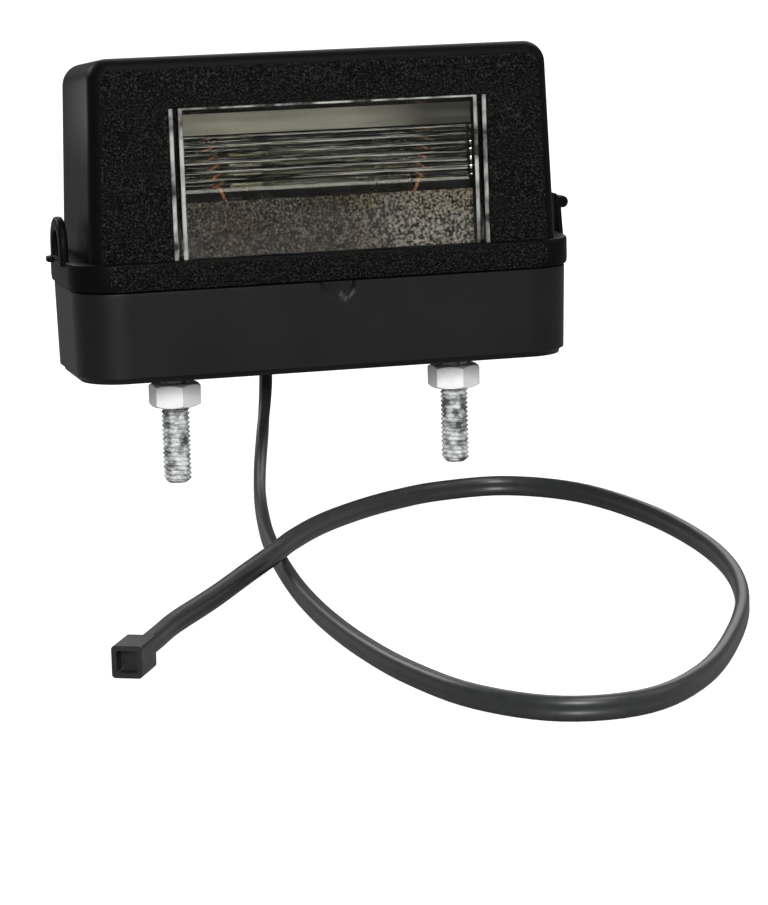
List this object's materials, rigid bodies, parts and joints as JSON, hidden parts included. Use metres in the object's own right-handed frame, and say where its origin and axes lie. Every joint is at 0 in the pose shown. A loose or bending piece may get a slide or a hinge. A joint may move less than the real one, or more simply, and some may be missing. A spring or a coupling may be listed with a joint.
{
  "type": "number plate lamp",
  "caption": "Rectangular number plate lamp with a hooded cover, fluted clear lens, festoon bulb on spring contacts, fixing studs with nuts, and a flat lead.",
  "frame": {"origin": "midway between the two studs, on the back face of the base, which lies against the mounting sheet", "axes": "+X along the lamp towards the tongue, -Y towards the window, +Z out of the mounting sheet towards the hood's roof"},
  "size_m": [0.1105, 0.2011, 0.0738],
  "materials": {
    "base_plastic": "satin moulded",
    "hood_plastic": "spark-eroded grain in front, satin elsewhere",
    "seal_rubber": "soft",
    "lens_clear": "clear moulded, fluted",
    "bulb_glass": "clear",
    "cap_nickel": "nickel plated",
    "filament_wire": "drawn wire",
    "contact_copper": "rolled spring strip",
    "terminal_brass": "stamped",
    "core_brown": "soft insulation",
    "core_grey": "soft insulation",
    "grommet_rubber": "soft",
    "cable_sheath": "soft, faintly ridged",
    "end_block": "satin",
    "zinc_steel": "zinc plated"
  },
  "bodies": {
    "root": {"base_housing": "base_plastic", "hood": "hood_plastic", "hood_seal": "seal_rubber", "lens": "lens_clear", "bulb_glass": "bulb_glass", "bulb_cap_left": "cap_nickel", "bulb_cap_right": "cap_nickel", "bulb_filament": "filament_wire", "contact_left": "contact_copper", "contact_right": "contact_copper", "terminal_left": "terminal_brass", "terminal_right": "terminal_brass", "rivet_left": "terminal_brass", "rivet_right": "terminal_brass", "core_wire_left": "core_brown", "core_wire_right": "core_grey", "cable_grommet": "grommet_rubber", "cable_lead_in": "cable_sheath", "cable": "cable_sheath", "cable_end_cap": "end_block", "stud_left": "zinc_steel", "stud_right": "zinc_steel", "nut_left": "zinc_steel", "nut_right": "zinc_steel"}
  },
  "joints": []
}
